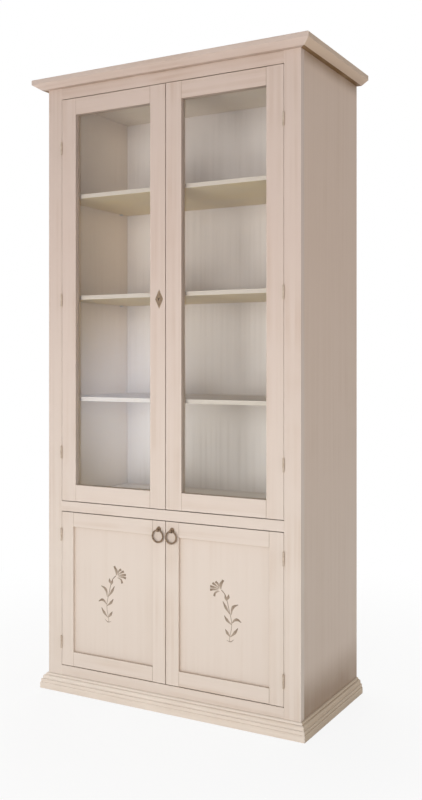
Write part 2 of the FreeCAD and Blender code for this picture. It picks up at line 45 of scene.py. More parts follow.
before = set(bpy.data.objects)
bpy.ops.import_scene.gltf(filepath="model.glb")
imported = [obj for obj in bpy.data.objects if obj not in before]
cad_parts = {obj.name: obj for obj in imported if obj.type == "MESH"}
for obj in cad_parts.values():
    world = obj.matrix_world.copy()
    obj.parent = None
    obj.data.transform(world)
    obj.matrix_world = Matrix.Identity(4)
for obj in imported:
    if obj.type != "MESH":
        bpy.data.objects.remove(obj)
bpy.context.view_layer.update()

MM = 0.001
X, Y, Z = 0, 1, 2

# Sockets of a Mix node that mixes colours
MIX_FACTOR, MIX_FIRST, MIX_SECOND, MIX_RESULT = 0, 6, 7, 2

FACING = 0.9                        # a normal's least share along the axis that its face looks along
SMOOTH_ANGLE = math.radians(35)     # sharper edges stay crisp

# The photograph's own frame and the camera that was fitted to it
PHOTO_LONG_SIDE = 800
HORIZON_ABOVE_MIDDLE = 40.3
CAMERA_PLACE = Vector((1.6322, -2.8387, 1.135))
CAMERA_TURN = math.radians(29.15)
CAMERA_LENS = 43.017


def linear(hex_code):
    """Scene-linear colour of an sRGB hex value."""
    channels = [int(hex_code[place:place + 2], 16) / 255 for place in (1, 3, 5)]
    return tuple(c / 12.92 if c <= 0.04045 else ((c + 0.055) / 1.055) ** 2.4 for c in channels)


def colour(name, description, hex_code):
    """Property for a colour, written as sRGB hex."""
    return bpy.props.FloatVectorProperty(
        name=name, description=description, subtype="COLOR", size=3, min=0.0, max=1.0,
        default=linear(hex_code))


def length(name, description, millimetres):
    """Property for a length, written in millimetres."""
    return bpy.props.FloatProperty(
        name=name, description=description, subtype="DISTANCE", unit="LENGTH", default=millimetres * MM)


def power(name, description, watts):
    """Property for a lamp's power."""
    return bpy.props.FloatProperty(name=name, description=description, unit="POWER", default=watts)


class BookcaseColours(bpy.types.PropertyGroup):
    """Colours of the paint, the painted shade, the decoration and the metalwork."""

    cream: colour("Cream paint", "Top coat of the woodwork", "#DCCEC2")
    side: colour("Side paint", "Warmer coat of the sides", "#D8C5B5")
    end: colour("End paint", "Yellower coat of the ends of cornice and plinth", "#D8C4AB")
    streak: colour("Streak", "Undercoat that shows between the brush marks", "#C8B29E")
    rubbed: colour("Rubbed edge", "Paler paint where edges are rubbed", "#E6D9CC")
    # Umber for corners, joints and undersides, which also serves as painted shade there
    glaze: colour("Umber glaze", "Brown glaze left in corners and joints", "#84633E")
    # Dark brown for the ends of cornice and plinth: umber in their corners and painted shadow on the
    # cornice's soffit
    stain: colour("Stain", "Brown stain under the ends of the cornice", "#76521E")
    # Painted shade: the coat is multiplied darker and warmer towards the top
    yellowing: colour("Yellowing", "Tint of old varnish at the top, where the room is warmest", "#F3EBEA")
    interior: colour("Interior paint", "Cooler coat inside", "#F5F0EE")
    interior_streak: colour("Interior streak", "Brush marks inside", "#CEC5BF")
    # Weaker painted shade towards the top, for the sides and the inside
    faint_top_shade_tint: colour("Faint yellowing", "Weaker tint of the sides and the inside", "#FCF5F1")
    lining: colour("Lining", "Yellowed coat on the inner faces of the sides", "#FAEEDC")
    lining_streak: colour("Lining streak", "Brush marks on the inner faces of the sides", "#EADBC4")
    # Yellow-olive colour painted under the shelves and the carcass top as their shade
    underside_shade_tint: colour("Shelf varnish", "Yellowed varnish under the shelves and the top", "#EAD093")
    sprig: colour("Sprig paint", "Taupe strokes of the sprigs", "#A99786")
    sprig_tip: colour("Sprig tips", "Darker paint at the strokes' tips", "#7A6550")
    hinge: colour("Hinge paint", "Thin grubby paint on the hinges", "#C8B7A6")
    bronze: colour("Aged bronze", "Brown skin of the fittings", "#A58D74")
    bronze_dark: colour("Bronze shadow", "Darker patches of the bronze", "#7C6A5C")
    bronze_rubbed: colour("Rubbed bronze", "Metal that hands keep bright", "#BEA68A")
    zinc: colour("Zinc", "Plated lock parts and supports", "#969796")
    catch: colour("Catch plastic", "Moulded case of the door magnets", "#C9BBA8")
    glass: colour("Glass", "Tint of the panes", "#FDFEFD")
    floor: colour("Floor", "Matt studio floor", "#F4F3F1")


class BookcasePaint(bpy.types.PropertyGroup):
    """Scale of the paint's patterns."""

    streak_width: length("Streak width", "Brush mark across the grain; drawn coarse so that it shows", 14)
    streak_length: length("Streak length", "Brush mark along the grain", 700)
    cloud_size: length("Cloud size", "Patches where the coat is thicker", 160)
    # The narrow reach darkens corners with umber, the wide one with painted shade
    glaze_and_shade_reach: length("Glaze reach", "Width of the brown glaze in a corner", 9)
    corner_shade_reach: length("Haze reach", "Width over which the glaze thins out round a corner", 80)
    rubbed_width: length("Rubbed width", "Width of the rubbed edges", 2.5)
    joint_width: length("Joint width", "Brown line where rail meets stile; drawn coarse to show", 1.5)
    # Heights over which the coat darkens towards the top, as painted shade
    top_shade_low: length("Yellowing from", "Height where the yellowing starts", 450)
    top_shade_high: length("Yellowing to", "Height where the yellowing is full", 1500)
    # The sides darken towards the foot with umber and painted shade, and towards the head with the painted
    # shadow of the cornice
    foot_low: length("Foot shading from", "Height below which the sides' foot is darkest", 70)
    foot_high: length("Foot shading to", "Height where the shading of the sides' foot ends", 210)
    head_low: length("Head shading from", "Height where the shading of the sides' head starts", 2020)
    head_high: length("Head shading to", "Height above which the sides' head is darkest", 2066)


class BookcasePulls(bpy.types.PropertyGroup):
    """Sizes of the ring pulls and the escutcheon."""

    ring_thin: length("Ring at the eye", "Wire radius at the top of the ring", 2.3)
    ring_thick: length("Ring at the foot", "Wire radius at the foot of the ring", 2.9)
    rosette_rim: length("Rosette rim", "Height of the rosette's outer edge", 0.8)
    eye_bore: length("Eye bore", "Radius of the hole that the ring hangs in", 3.3)
    eye_width: length("Eye width", "Width of the eye along the ring's wire", 8)
    plate_edge: length("Plate edge", "Height of the escutcheon's outer edge", 0.5)
    plate_bevel: length("Plate bevel", "Width and height of the bevel round the escutcheon", 0.6)
    plate_facet: length("Plate facet", "Width of the escutcheon's sloping facets", 7.5)
    keyhole: length("Keyhole", "Radius of the keyhole", 2.6)
    keyhole_slot: length("Keyhole slot", "Length of the slot below the keyhole", 9)
    keyhole_width: length("Keyhole width", "Width of the slot", 2.8)


class BookcaseSprig(bpy.types.PropertyGroup):
    """Sizes of the painted sprigs."""

    foot_x: length("Foot from the middle", "Sprig's foot from the middle of the bookcase", 229)
    foot_z: length("Foot above the floor", "Height of the sprig's foot", 255)
    stem_width: length("Stem width", "Width of the stem's stroke", 3)
    leaf_width: length("Leaf width", "Width of a leaf's stroke", 10)
    petal_width: length("Petal width", "Width of a petal's stroke", 9)
    paint_height: length("Paint height", "Paint that stands on the panel", 0.35)


class BookcaseScrews(bpy.types.PropertyGroup):
    """Sizes of the screws and of the pins that hold the back."""

    screw_radius: length("Screw head", "Radius of a screw's head", 2.2)
    screw_rise: length("Screw rise", "How far a screw's head stands proud", 0.3)
    slot_width: length("Slot width", "Width of the slot in a screw's head", 0.8)
    lock_inset: length("Lock screws", "Screws from the edges of the lock case", 6)
    guide_inset: length("Guide screws", "Screws from the sides of a bolt guide's plate", 2.5)
    guide_length: length("Guide length", "Height of a bolt guide's plate", 42)
    guide_plate: length("Guide plate", "Thickness of a bolt guide's plate", 2)
    catch_inset: length("Catch screws", "Screws from the ends of a catch plate", 4)
    pin_radius: length("Pin head", "Radius of a pin's head", 2.2)
    pin_rise: length("Pin rise", "How far a pin's head stands proud", 0.8)
    pin_inset: length("Pin inset", "Pins from the edges of the back panel", 7)
    pin_spacing: length("Pin spacing", "Most that two pins stand apart", 150)


class BookcaseStage(bpy.types.PropertyGroup):
    """Light and floor of the studio."""

    floor_size: length("Floor size", "Width of the floor", 30000)
    key_power: power("Key lamp", "Power of the large soft lamp in front, to the right", 91)
    front_power: power("Front lamp", "Power of the low lamp in front", 31)
    side_power: power("Side lamp", "Power of the lamp on the right", 33)
    back_power: power("Back lamp", "Power of the lamp behind, which the front doesn't see", 70)
    left_power: power("Left lamp", "Power of the lamp on the left, behind the front", 60)
    top_power: power("Top lamp", "Power of the lamp above, behind the front", 36)
    ambient: bpy.props.FloatProperty(
        name="Ambient", description="Even light from all round", subtype="FACTOR", default=0.22)


def add_node(tree, kind, inputs, **settings):
    """Adds one node: settings are its options, inputs are numbers, colours, nodes or their outputs."""
    made = tree.nodes.new("ShaderNode" + kind)
    for name, value in settings.items():
        setattr(made, name, value)
    for socket, value in inputs.items():
        if isinstance(value, bpy.types.Node):
            value = value.outputs[0]
        if isinstance(value, bpy.types.NodeSocket):
            tree.links.new(value, made.inputs[socket])
        else:
            made.inputs[socket].default_value = value
    return made


def maths(tree, operation, *values):
    """One sum, product or comparison of numbers or outputs."""
    return add_node(tree, "Math", dict(enumerate(values)), operation=operation)


def ramp(tree, value, start, end, low=0.0, high=1.0, curve="LINEAR"):
    """Turns a value that runs from start to end into one that runs from low to high."""
    return add_node(tree, "MapRange", {
        "Value": value, "From Min": start, "From Max": end, "To Min": low, "To Max": high},
        interpolation_type=curve)


def mixed(tree, factor, first, second, blend="MIX"):
    """Colour between two colours or outputs."""
    made = add_node(
        tree, "Mix", {MIX_FACTOR: factor, MIX_FIRST: first, MIX_SECOND: second}, data_type="RGBA",
        blend_type=blend)
    return made.outputs[MIX_RESULT]


def noise(tree, size, detail):
    """Noise in the piece's own space, with patches of a real size."""
    place = add_node(tree, "TexCoord", {}).outputs["Object"]
    return add_node(tree, "TexNoise", {"Vector": place, "Scale": 1 / size, "Detail": detail})


def occluded(tree, reach, closed, clear, share, **settings):
    """A share in corners within reach, or with inside=True on edges, that fades out where it is clear."""
    shade = add_node(tree, "AmbientOcclusion", {"Distance": reach}, **settings)
    return ramp(tree, shade.outputs["AO"], closed, clear, share, 0.0)


def seen_directly(tree):
    """1 for a ray from the camera, from a mirror or through glass that no matt surface has scattered."""
    path = add_node(tree, "LightPath", {})
    seen = maths(tree, "MAXIMUM", path.outputs["Is Camera Ray"], path.outputs["Is Glossy Ray"])
    shown = maths(tree, "MAXIMUM", seen, path.outputs["Is Transmission Ray"])
    unscattered = maths(tree, "LESS_THAN", path.outputs["Diffuse Depth"], 0.5)
    return maths(tree, "MULTIPLY", shown, unscattered)


def start_material(name):
    """Empty node material and its tree."""
    material = bpy.data.materials.new(name)
    material.use_nodes = True
    material.node_tree.nodes.clear()
    return material, material.node_tree


def opaque(rgb):
    """Colour with full alpha, as the shader sockets take it."""
    return (*rgb, 1.0)


# Colours of a painted board, of which the umber and the tint towards the top also paint shade, the share of
# undercoat in its streaks, the shares of umber and painted shade in its corners and on its underside, the
# coat and streak of its inner face if that differs, and how far from the bookcase's middle its shoulders
# meet a stile
Finish = namedtuple("Finish", "coat streak rubbed glaze yellowing streaks corners under lining shoulders")


def brushed_paint(name, grain, sizes, finish):
    """Oil paint brushed on wood and wiped with umber; a lined board is also darker at its foot and head."""
    # The brush leaves soft streaks along each board. Umber stays brown in corners and joints, painted shade
    # darkens the corners further over a wider reach, undersides are darker with painted shade and some
    # umber, and the rubbed arrises are paler.
    material, tree = start_material(name)
    coordinates = add_node(tree, "TexCoord", {})
    place = coordinates.outputs["Object"]
    spot = add_node(tree, "SeparateXYZ", {"Vector": place})
    facing = add_node(tree, "SeparateXYZ", {"Vector": coordinates.outputs["Normal"]})
    mark = [sizes.streak_width] * 3
    mark[grain] = sizes.streak_length
    along = add_node(tree, "Mapping", {"Vector": place, "Scale": [1 / size for size in mark]})
    streaks = add_node(tree, "TexNoise", {"Vector": along, "Scale": 1.0, "Detail": 2.0, "Roughness": 0.5})
    clouds = noise(tree, sizes.cloud_size, 2.0)
    thin = ramp(tree, streaks, 0.4, 0.75, 0.0, finish.streaks)
    patch = ramp(tree, clouds, 0.3, 0.75, 0.0, 1.3)
    worn = maths(tree, "MULTIPLY", thin, patch)
    brushed = mixed(tree, worn, opaque(finish.coat), opaque(finish.streak))
    if finish.lining:
        inner_coat, inner_streak = finish.lining
        away = maths(tree, "MULTIPLY", spot.outputs["X"], facing.outputs["X"])
        outer = maths(tree, "GREATER_THAN", away, 0.0)
        lined = mixed(tree, worn, opaque(inner_coat), opaque(inner_streak))
        brushed = mixed(tree, outer, lined, brushed)
    rub = occluded(tree, sizes.rubbed_width, 0.5, 0.95, 0.7, samples=6, inside=True)
    edged = mixed(tree, rub, brushed, opaque(finish.rubbed))
    # Painted shade: darker and warmer towards the top
    towards_top = ramp(tree, spot.outputs["Z"], sizes.top_shade_low, sizes.top_shade_high)
    top_shaded = mixed(tree, towards_top, edged, opaque(finish.yellowing), "MULTIPLY")
    # Corners darker where other faces are near: umber close in, painted shade further out
    line = occluded(tree, sizes.glaze_and_shade_reach, 0.4, 0.9, finish.corners, samples=8)
    painted_corner_shade = occluded(tree, sizes.corner_shade_reach, 0.35, 0.95, 0.7 * finish.corners, samples=6)
    corner_glaze_and_shade = maths(tree, "MAXIMUM", line, painted_corner_shade)
    # Undersides darker: painted shade, with some umber
    under = ramp(tree, facing.outputs["Z"], -0.86, -0.98, 0.0, finish.under)
    umber_and_painted_shade = maths(tree, "MAXIMUM", corner_glaze_and_shade, under)
    if finish.lining:
        # Outer faces of the sides: darker at the foot with umber and painted shade, at the head with the
        # cornice's painted shadow
        foot = ramp(tree, spot.outputs["Z"], sizes.foot_low, sizes.foot_high, 0.7, 0.0, "SMOOTHSTEP")
        head = ramp(tree, spot.outputs["Z"], sizes.head_low, sizes.head_high, 0.0, 0.55, "SMOOTHSTEP")
        ends = maths(tree, "MAXIMUM", foot, head)
        shaded = maths(tree, "MULTIPLY", ends, outer)
        umber_and_painted_shade = maths(tree, "MAXIMUM", umber_and_painted_shade, shaded)
    across = maths(tree, "ABSOLUTE", spot.outputs["X"])
    for shoulder in finish.shoulders:
        joint = maths(tree, "COMPARE", across, shoulder, sizes.joint_width)
        faint = maths(tree, "MULTIPLY", joint, 0.5)
        umber_and_painted_shade = maths(tree, "MAXIMUM", umber_and_painted_shade, faint)
    wiped = ramp(tree, clouds, 0.3, 0.6, 0.75, 1.0)
    # Share of umber and painted shade, thinned at random where the board was wiped
    stain = maths(tree, "MULTIPLY", umber_and_painted_shade, wiped)
    glazed_and_shaded = mixed(tree, stain, top_shaded, opaque(finish.glaze))
    gloss = ramp(tree, streaks, 0.0, 1.0, 0.42, 0.62)
    ridges = add_node(tree, "Bump", {"Height": streaks, "Strength": 0.1, "Distance": 0.3 * MM})
    shader = add_node(tree, "BsdfPrincipled", {"Base Color": glazed_and_shaded, "Roughness": gloss, "Normal": ridges})
    add_node(tree, "OutputMaterial", {"Surface": shader})
    return material


def clear_glass(tint):
    """Float glass."""
    # Sharp faint reflections, a breath of green in the body and soft smears where it was wiped.
    smear_width = 50 * MM
    smear_length = 400 * MM
    material, tree = start_material("clear_float_glass")
    place = add_node(tree, "TexCoord", {}).outputs["Object"]
    wipe = add_node(tree, "Mapping", {"Vector": place, "Scale": (1 / smear_width, 1.0, 1 / smear_length)})
    smears = add_node(tree, "TexNoise", {"Vector": wipe, "Scale": 1.0, "Detail": 3.0})
    smeared = ramp(tree, smears, 0.5, 0.8, 0.0, 0.05)
    pane = add_node(tree, "BsdfPrincipled", {
        "Base Color": opaque(tint), "Roughness": smeared, "IOR": 1.5, "Transmission Weight": 1.0})
    through = add_node(tree, "BsdfTransparent", {"Color": opaque(tint)})
    path = add_node(tree, "LightPath", {})
    # Lamps and stray light pass the panes unbent, so that the shelves behind are lit as through real glass
    lit = add_node(tree, "MixShader", {0: path.outputs["Is Diffuse Ray"], 1: pane, 2: through})
    shader = add_node(tree, "MixShader", {0: path.outputs["Is Shadow Ray"], 1: lit, 2: through})
    add_node(tree, "OutputMaterial", {"Surface": shader})
    return material


def aged_bronze(skin, dark, rubbed):
    """Cast bronze with a brown patina."""
    # Mottled brown skin with darker patches, and brighter metal on edges that hands rub.
    material, tree = start_material("aged_cast_bronze")
    mottle = noise(tree, 4 * MM, 4.0)
    patch = ramp(tree, mottle, 0.4, 0.65)
    skinned = mixed(tree, patch, opaque(skin), opaque(dark))
    rub = occluded(tree, 1.2 * MM, 0.45, 0.9, 0.5, samples=6, inside=True)
    worn = mixed(tree, rub, skinned, opaque(rubbed))
    gloss = ramp(tree, mottle, 0.0, 1.0, 0.35, 0.6)
    pits = add_node(tree, "Bump", {"Height": mottle, "Strength": 0.2, "Distance": 0.2 * MM})
    shader = add_node(tree, "BsdfPrincipled", {
        "Base Color": worn, "Metallic": 1.0, "Roughness": gloss, "Normal": pits})
    add_node(tree, "OutputMaterial", {"Surface": shader})
    return material


def painted_bronze(paint, bronze):
    """Bronze hinges that the brush has painted over with the doors."""
    # Cream paint that has come off in chips, with brown metal on the edges of the knuckles.
    material, tree = start_material("overpainted_bronze")
    chips = noise(tree, 9 * MM, 4.0)
    chipped = ramp(tree, chips, 0.42, 0.7, 0.0, 0.45)
    rub = occluded(tree, 1.2 * MM, 0.3, 0.8, 0.7, samples=6, inside=True)
    bare = maths(tree, "MAXIMUM", chipped, rub)
    coated = mixed(tree, bare, opaque(paint), opaque(bronze))
    shader = add_node(tree, "BsdfPrincipled", {"Base Color": coated, "Metallic": bare, "Roughness": 0.5})
    add_node(tree, "OutputMaterial", {"Surface": shader})
    return material


def zinc_plate(zinc):
    """Pressed steel, dull zinc plated."""
    # Cool grey with a broad soft sheen and the faint cloudy spangle of plating.
    material, tree = start_material("zinc_plated_steel")
    spangle = noise(tree, 3 * MM, 3.0)
    dull = [0.8 * channel for channel in zinc]
    cloudy = mixed(tree, spangle, opaque(zinc), opaque(dull))
    gloss = ramp(tree, spangle, 0.0, 1.0, 0.55, 0.7)
    shader = add_node(tree, "BsdfPrincipled", {"Base Color": cloudy, "Metallic": 1.0, "Roughness": gloss})
    add_node(tree, "OutputMaterial", {"Surface": shader})
    return material


def moulded_plastic(tone):
    """Moulded ABS of the magnet cases."""
    # Even satin skin with the fine grain of the mould.
    material, tree = start_material("moulded_abs")
    grit = noise(tree, 0.8 * MM, 2.0)
    shade = [0.9 * channel for channel in tone]
    toned = mixed(tree, grit, opaque(tone), opaque(shade))
    skin = add_node(tree, "Bump", {"Height": grit, "Strength": 0.15, "Distance": 0.1 * MM})
    shader = add_node(tree, "BsdfPrincipled", {"Base Color": toned, "Roughness": 0.5, "Normal": skin})
    add_node(tree, "OutputMaterial", {"Surface": shader})
    return material


def decorating_paint(stroke, tip):
    """Thinned oil colour of the sprigs, put on with a soft brush."""
    # Each stroke starts pale and streaky and ends in a darker drop of colour.
    material, tree = start_material("decorating_oil_colour")
    load = add_node(tree, "Attribute", {}, attribute_name="paint_load").outputs["Fac"]
    hairs = noise(tree, 5 * MM, 3.0)
    broken = ramp(tree, hairs, 0.3, 0.7, -0.3, 0.3)
    depth = add_node(tree, "Math", {0: load, 1: broken}, operation="ADD", use_clamp=True)
    painted = mixed(tree, depth, opaque(stroke), opaque(tip))
    shader = add_node(tree, "BsdfPrincipled", {"Base Color": painted, "Roughness": 0.6})
    add_node(tree, "OutputMaterial", {"Surface": shader})
    return material


def material_of(name, make, *values):
    """The named material, made on its first use."""
    return bpy.data.materials.get(name) or make(*values)


def bronze_material(context):
    """Aged bronze in the scene's colours."""
    tones = context.scene.bookcase_colours
    return material_of("aged_cast_bronze", aged_bronze, tones.bronze, tones.bronze_dark, tones.bronze_rubbed)


def zinc_material(context):
    """Zinc plate in the scene's colour."""
    return material_of("zinc_plated_steel", zinc_plate, context.scene.bookcase_colours.zinc)


def coat(piece, material):
    """Gives a piece one material."""
    piece.data.materials.clear()
    piece.data.materials.append(material)


def nodes_ending(*endings):
    """CAD nodes whose names end in one of these words."""
    return [node for name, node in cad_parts.items() if name.endswith(endings)]


def size_of(name):
    """Width, depth and height of a CAD node."""
    low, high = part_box(name)
    return high - low


def middle_of(name):
    """Middle of a CAD node's box."""
    low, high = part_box(name)
    return (low + high) / 2


def clear_selection():
    """Selects nothing; the CAD nodes come selected from the loader."""
    bpy.ops.object.select_all(action="DESELECT")


def settle():
    """Puts the active piece's place, turn and size into its mesh."""
    bpy.ops.object.transform_apply(location=True, rotation=True, scale=True)
    return bpy.context.object


def pick(*pieces):
    """Selects these pieces alone and makes the first one active."""
    clear_selection()
    for piece in pieces:
        piece.select_set(True)
    bpy.context.view_layer.objects.active = pieces[0]


def add_primitive(operator, **settings):
    """Adds one primitive at its size and place."""
    clear_selection()
    operator(**settings)
    return settle()


@contextmanager
def editing(piece):
    """Edit mode on one piece, with nothing of it selected."""
    pick(piece)
    bpy.ops.object.mode_set(mode="EDIT")
    bpy.ops.mesh.select_mode(type="FACE")
    bpy.ops.mesh.select_all(action="DESELECT")
    yield bmesh.from_edit_mesh(piece.data)
    bpy.ops.object.mode_set(mode="OBJECT")


def choose_faces(piece, mesh, test):
    """Selects the faces whose middle and normal pass the test."""
    for face in mesh.faces:
        face.select_set(test(face.calc_center_median(), face.normal))
    bmesh.update_edit_mesh(piece.data)


def joined(pieces):
    """Several pieces as one, with the first one's name."""
    pick(*pieces)
    bpy.ops.object.join()
    return bpy.context.object


def mirrored_copy(piece):
    """The same piece, with its own mesh, on the other side of the bookcase."""
    pick(piece)
    bpy.ops.object.duplicate()
    bpy.context.object.scale.x = -1
    copy = settle()
    with editing(copy):
        bpy.ops.mesh.select_all(action="SELECT")
        bpy.ops.mesh.normals_make_consistent(inside=False)
    return copy


def cut_away(piece, cutter):
    """Cuts one solid out of a piece."""
    pick(piece)
    cut = piece.modifiers.new("cut", "BOOLEAN")
    cut.object = cutter
    cut.solver = "EXACT"
    bpy.ops.object.modifier_apply(modifier=cut.name)
    bpy.data.objects.remove(cutter)


def hand_over(piece, name, body, material, replaced=()):
    """Names and coats a finished piece and fixes it to its CAD body."""
    piece.name = name
    piece.data.name = name
    coat(piece, material)
    pick(piece)
    bpy.ops.object.shade_smooth_by_angle(angle=SMOOTH_ANGLE)
    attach(piece, body)
    if replaced:
        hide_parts(*replaced)


class BOOKCASE_OT_paint_woodwork(bpy.types.Operator):
    """Coats every wooden CAD node in brushed paint along its grain"""

    bl_idname = "bookcase.paint_woodwork"
    bl_label = "Paint woodwork"

    wiped = ("stile", "stile_left", "stile_right")
    # The plinth front is given the paler coat as painted light, brighter near the floor
    foot = ("plinth_front",)
    outside = ("beads", "cornice_front", "top_panel", "face_top_rail", "face_mid_rail", "face_bottom_rail")
    panels = ("lower_left_panel", "lower_right_panel")
    ends = ("cornice_left", "cornice_right", "plinth_left", "plinth_right")
    sides = ("side_panel_left", "side_panel_right")
    inside = ("back_panel", "divider_shelf", "carcass_floor")
    ceiling = ("carcass_top",)
    loose = ("shelves",)

    def grain_of(self, name):
        """Axis of a board's grain: its longest side, and for the stack of shelves the width."""
        if name in self.loose:
            return X
        return max((X, Y, Z), key=lambda axis: size_of(name)[axis])

    def rails_of(self, row):
        """Names of the rails of a row of doors."""
        return [f"{row}_{side}_{place}_rail" for side in ("left", "right") for place in ("top", "bottom")]

    def shoulders_of(self, row, inner_stile):
        """How far from the middle the rails of a row of doors meet their inner and outer stiles."""
        return (-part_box(inner_stile)[0].x, -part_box(f"{row}_left_hinge_stile")[1].x)

    def execute(self, context):
        tones = context.scene.bookcase_colours
        sizes = context.scene.bookcase_paint
        ways = {X: "level", Y: "deep", Z: "upright"}
        cream = Finish(
            tones.cream, tones.streak, tones.rubbed, tones.glaze, tones.yellowing, streaks=0.5, corners=0.45,
            under=0.2, lining=None, shoulders=())
        lining = (tones.lining, tones.lining_streak)
        interior = cream._replace(
            coat=tones.interior, streak=tones.interior_streak, rubbed=tones.interior,
            yellowing=tones.faint_top_shade_tint, streaks=0.3, corners=0.25, under=0.1)
        # The ceiling and the shelves darken and yellow underneath as painted shade
        ceiling = interior._replace(glaze=tones.underside_shade_tint, corners=0.15, under=0.4)
        shelf = ceiling._replace(coat=tones.interior_streak, under=0.85)
        # Cornice and plinth ends: full painted shade on their undersides, with umber in their corners
        stained_and_shaded = cream._replace(coat=tones.end, glaze=tones.stain, under=1.0)
        side = cream._replace(
            coat=tones.side, yellowing=tones.faint_top_shade_tint, streaks=0.3, corners=0.2, lining=lining)
        upper = self.shoulders_of("upper", "upper_left_lock_stile")
        lower = self.shoulders_of("lower", "lower_left_meeting_stile")
        finishes = {
            "brushed_cream_paint_": (self.outside, cream),
            # Stiles and plinth front keep less umber and painted shade in their corners
            "wiped_cream_paint_": (self.wiped, cream._replace(corners=0.15)),
            # Paler coat on the plinth front: painted light, brighter near the floor
            "rubbed_cream_paint_": (self.foot, cream._replace(coat=tones.rubbed, corners=0.15)),
            "smooth_cream_paint_": (self.panels, cream._replace(streaks=0.14)),
            "upper_rail_cream_paint_": (self.rails_of("upper"), cream._replace(shoulders=upper)),
            "lower_rail_cream_paint_": (self.rails_of("lower"), cream._replace(shoulders=lower)),
            "stained_cream_paint_": (self.ends, stained_and_shaded),
            "lined_cream_paint_": (self.sides, side),
            "brushed_interior_paint_": (self.inside, interior),
            "varnished_ceiling_paint_": (self.ceiling, ceiling),
            "varnished_interior_paint_": (self.loose, shelf),
        }
        for prefix, (endings, finish) in finishes.items():
            for board in nodes_ending(*endings):
                grain = self.grain_of(board.name)
                name = prefix + ways[grain]
                coat(board, material_of(name, brushed_paint, name, grain, sizes, finish))
        return {"FINISHED"}


class BOOKCASE_OT_glaze_doors(bpy.types.Operator):
    """Gives the panes of the upper doors clear glass"""

    bl_idname = "bookcase.glaze_doors"
    bl_label = "Glaze doors"

    def execute(self, context):
        glass = material_of("clear_float_glass", clear_glass, context.scene.bookcase_colours.glass)
        for pane in nodes_ending("_glass"):
            coat(pane, glass)
        return {"FINISHED"}


class BOOKCASE_OT_finish_metalwork(bpy.types.Operator):
    """Coats hinges, lock, bolts, supports and catches"""

    bl_idname = "bookcase.finish_metalwork"
    bl_label = "Finish metalwork"

    def execute(self, context):
        tones = context.scene.bookcase_colours
        overpainted = material_of("overpainted_bronze", painted_bronze, tones.hinge, tones.bronze)
        for fitting in nodes_ending("hinges", "hinge_leaves"):
            coat(fitting, overpainted)
        for fitting in nodes_ending("lock_case", "_bolt", "bolt_guides", "supports", "catch_plate"):
            coat(fitting, zinc_material(context))
        plastic = material_of("moulded_abs", moulded_plastic, tones.catch)
        for fitting in nodes_ending("magnets"):
            coat(fitting, plastic)
        return {"FINISHED"}


class BOOKCASE_OT_make_ring_pulls(bpy.types.Operator):
    """Turns the rosettes and casts the rings of the lower doors"""

    bl_idname = "bookcase.make_ring_pulls"
    bl_label = "Make ring pulls"

    # Each step of the turned face: how far in and how far up from the last, in millimetres
    turned_steps = (
        (0.3, 0.7), (0.5, 0.4), (0.4, 0.0), (0.3, -0.4), (0.3, 0.1), (0.4, 0.9), (0.7, 0.9),
        (0.8, 0.5), (0.5, 0.3), (0.3, 0.6), (0.1, 0.6),
    )

    def rosette(self, sizes):
        """Rosette with a rim, a groove and a dome, and the eye that stands out below its middle."""
        low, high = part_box("lower_left_pull_rosette")
        radius = (high.x - low.x) / 2
        rim = sizes.rosette_rim
        disc = add_primitive(
            bpy.ops.mesh.primitive_cylinder_add, vertices=64, radius=radius, depth=rim,
            location=(low.x + radius, high.y - rim / 2, high.z - radius), rotation=(math.pi / 2, 0, 0))
        with editing(disc) as mesh:
            choose_faces(disc, mesh, lambda place, normal: normal.y < -FACING)
            for inward, rise in self.turned_steps:
                bpy.ops.mesh.inset(thickness=inward * MM, depth=rise * MM)
        ring_low, ring_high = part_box("lower_left_ring")
        wire = (ring_high.y - ring_low.y) / 2
        eye_middle = (low.x + radius, ring_low.y + wire, ring_high.z - wire)
        outer = ring_low.y + wire - low.y
        wall = (outer - sizes.eye_bore) / 2
        eye = add_primitive(
            bpy.ops.mesh.primitive_torus_add, major_segments=48, minor_segments=20,
            major_radius=outer - wall, minor_radius=wall, location=eye_middle, rotation=(0, math.pi / 2, 0))
        with editing(eye):
            bpy.ops.mesh.select_all(action="SELECT")
            bpy.ops.transform.resize(
                value=(sizes.eye_width / (2 * wall), 1, 1), center_override=eye_middle)
        return joined([disc, eye])

    def ring(self, sizes):
        """Cast ring, thinner where it hangs in the eye."""
        middle = middle_of("lower_left_ring")
        size = size_of("lower_left_ring")
        clear_selection()
        bpy.ops.curve.primitive_bezier_circle_add(
            radius=(size.x - size.y) / 2, location=middle, rotation=(math.pi / 2, 0, 0))
        curve = bpy.context.object.data
        curve.resolution_u = 24
        curve.bevel_depth = sizes.ring_thick
        curve.bevel_resolution = 6
        for point in curve.splines[0].bezier_points:
            height = point.co.y / ((size.x - size.y) / 2)
            point.radius = 1 - (1 - sizes.ring_thin / sizes.ring_thick) * (1 + height) / 2
        bpy.ops.object.convert(target="MESH")
        return settle()

    def execute(self, context):
        sizes = context.scene.bookcase_pulls
        bronze = bronze_material(context)
        rosette = self.rosette(sizes)
        ring = self.ring(sizes)
        pieces = {"left": (rosette, ring), "right": (mirrored_copy(rosette), mirrored_copy(ring))}
        for side, (boss, hoop) in pieces.items():
            door = f"lower_{side}_door"
            hand_over(boss, f"lower_{side}_turned_rosette", door, bronze,
                      [f"lower_{side}_pull_rosette"])
            hand_over(hoop, f"lower_{side}_cast_ring", f"lower_{side}_ring", bronze,
                      [f"lower_{side}_ring"])
        return {"FINISHED"}


